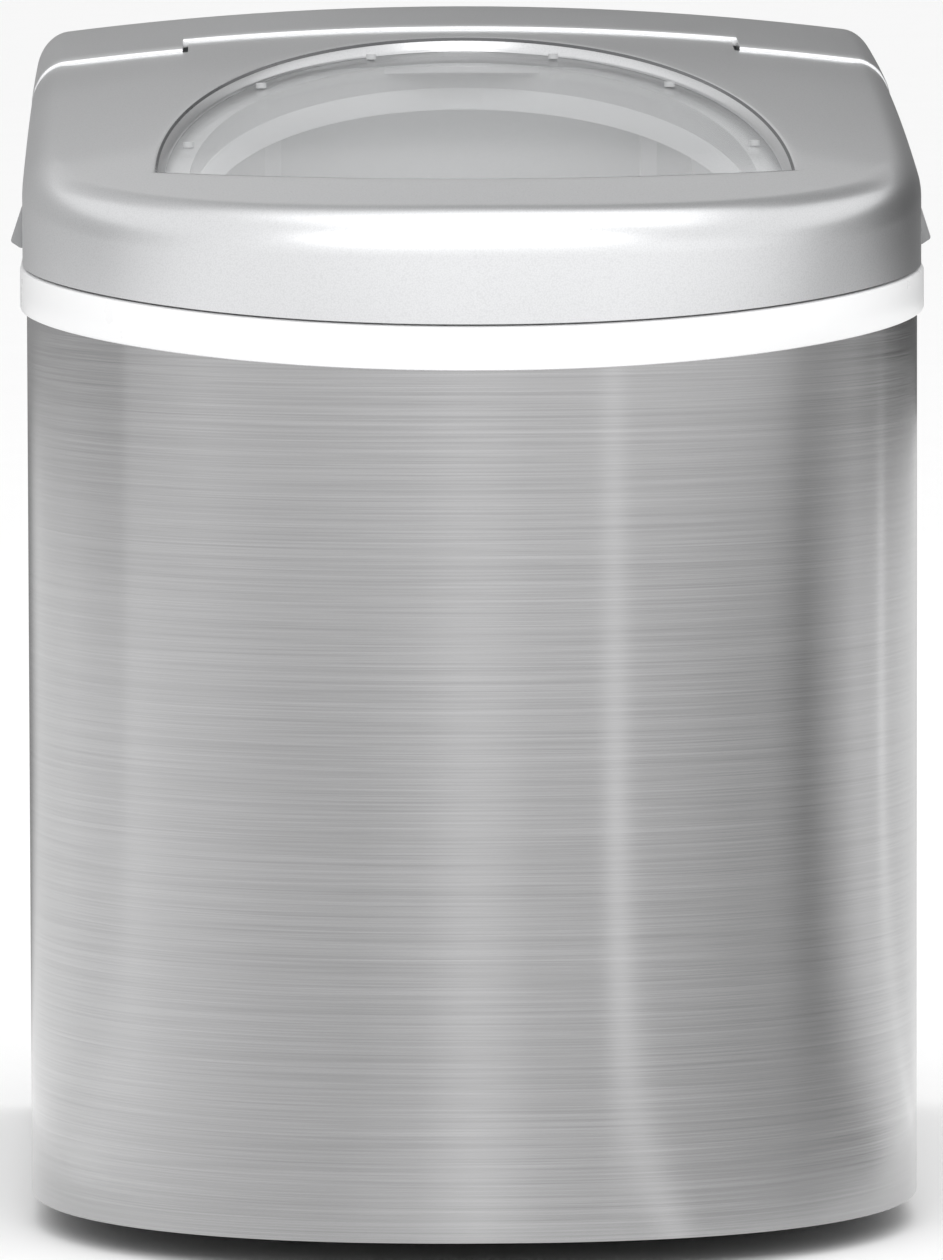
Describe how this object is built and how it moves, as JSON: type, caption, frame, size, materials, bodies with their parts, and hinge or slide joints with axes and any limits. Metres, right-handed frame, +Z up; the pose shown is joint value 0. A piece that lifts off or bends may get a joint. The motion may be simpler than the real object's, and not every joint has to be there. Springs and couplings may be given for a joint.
{
  "type": "ice maker",
  "caption": "Compact countertop ice maker with a brushed steel wrap, a white rim band and a hinged silver lid with a window over an ice basket.",
  "frame": {"origin": "centre of the footprint, at the surface that the feet stand on", "axes": "+Z up, the front faces -Y, +X to the right seen from the front"},
  "size_m": [0.247, 0.358, 0.3178],
  "materials": {
    "black_plastic": "matte",
    "foot_rubber": "matte",
    "screw_steel": "zinc plated",
    "brushed_wrap": "brushed side to side",
    "galvanised_panel": "satin",
    "white_gloss": "gloss",
    "white_tub": "satin",
    "foam": "foamed",
    "silver_plastic": "silver paint, satin",
    "clear_window": "clear, slightly smoked",
    "grey_liner": "satin",
    "clear_basket": "translucent",
    "panel_grey": "satin",
    "lens_green": "translucent",
    "circuit_board": "lacquered",
    "copper": "bare copper",
    "nickel": "nickel plated",
    "orange_float": "foamed",
    "hose_clear": "silicone",
    "black_enamel": "gloss enamel",
    "aluminium_fins": "mill",
    "motor_steel": "satin",
    "fan_plastic": "satin"
  },
  "bodies": {
    "cabinet": {"base_pan": "black_plastic", "rubber_feet": "foot_rubber", "foot_screws": "screw_steel", "outer_wrap": "brushed_wrap", "rear_panel": "galvanised_panel", "rear_panel_screws": "screw_steel", "upper_housing": "white_gloss", "inner_tub": "white_tub", "tub_foam": "foam", "rear_deck": "silver_plastic", "hinge_brackets": "white_tub", "hinge_pins": "screw_steel", "control_panel": "panel_grey", "indicator_lenses": "lens_green", "button_board": "circuit_board", "evaporator_frame": "white_tub", "evaporator_bar": "copper", "freezing_fingers": "nickel", "tray_motor": "black_plastic", "tray_bearing": "white_tub", "ice_level_sensors": "black_plastic", "float_stem": "white_tub", "water_pump": "black_plastic", "pump_cover": "white_tub", "water_hose": "hose_clear", "compressor": "black_enamel", "compressor_grommets": "foot_rubber", "terminal_cover": "black_plastic", "condenser": "aluminium_fins", "fan_shroud": "black_plastic", "fan_motor": "motor_steel", "filter_drier": "copper", "hot_gas_valve": "motor_steel", "suction_tube": "copper", "discharge_tube": "copper", "control_board": "circuit_board", "drain_hose": "hose_clear", "drain_fitting": "white_tub", "cord_gland": "black_plastic"},
    "lid": {"lid_cover": "silver_plastic", "lid_finger_grips": "silver_plastic", "lid_window": "clear_window", "window_tabs": "grey_liner", "lid_liner": "grey_liner", "liner_screws": "screw_steel", "lid_hinge_arms": "grey_liner"},
    "basket": {"ice_basket": "clear_basket"},
    "scoop": {"ice_scoop": "clear_basket"},
    "power_key": {"power_button": "silver_plastic"},
    "select_key": {"select_button": "silver_plastic"},
    "tray": {"water_tray": "white_tub"},
    "shovel": {"ice_shovel": "white_tub"},
    "fan": {"fan_wheel": "fan_plastic"},
    "impeller": {"pump_impeller": "white_tub"},
    "float": {"water_float": "orange_float"},
    "drain_plug": {"drain_cap": "foot_rubber"}
  },
  "joints": [
    {"name": "lid_hinge", "type": "hinge", "parent": "cabinet", "child": "lid", "pos_m": [0, 0.0975, 0.30339], "axis": [-1, 0, 0], "range_deg": [0, 82]},
    {"name": "basket_lift", "type": "slide", "parent": "cabinet", "child": "basket", "axis": [0, 0, 1], "range_m": [0, 0.018]},
    {"name": "scoop_lift", "type": "slide", "parent": "basket", "child": "scoop", "axis": [0, 0, 1], "range_m": [0, 0.02]},
    {"name": "power_press", "type": "slide", "parent": "cabinet", "child": "power_key", "axis": [0, 0, -1], "range_m": [0, 0.0012], "stiffness_N_per_m": 800, "springref_m": -0.0005},
    {"name": "select_press", "type": "slide", "parent": "cabinet", "child": "select_key", "axis": [0, 0, -1], "range_m": [0, 0.0012], "stiffness_N_per_m": 800, "springref_m": -0.0005},
    {"name": "tray_tilt", "type": "hinge", "parent": "cabinet", "child": "tray", "pos_m": [0, 0.027, 0.226], "axis": [1, 0, 0], "range_deg": [0, 65]},
    {"name": "shovel_swing", "type": "hinge", "parent": "cabinet", "child": "shovel", "pos_m": [0, -0.0036, 0.244], "axis": [-1, 0, 0], "range_deg": [0, 39]},
    {"name": "fan_spin", "type": "hinge", "parent": "cabinet", "child": "fan", "pos_m": [0.055, 0.1282, 0.0634], "axis": [0, 1, 0], "continuous": true},
    {"name": "impeller_spin", "type": "hinge", "parent": "cabinet", "child": "impeller", "pos_m": [0.052, -0.04, 0.084], "axis": [0, 0, 1], "continuous": true},
    {"name": "float_rise", "type": "slide", "parent": "cabinet", "child": "float", "axis": [0, 0, 1], "range_m": [0, 0.012]},
    {"name": "drain_plug_pull", "type": "slide", "parent": "cabinet", "child": "drain_plug", "axis": [0, 1, 0], "range_m": [0, 0.025]}
  ],
  "couplings": [
    {"joint": "shovel_swing", "follows": "tray_tilt", "ratio": 0.6}
  ]
}
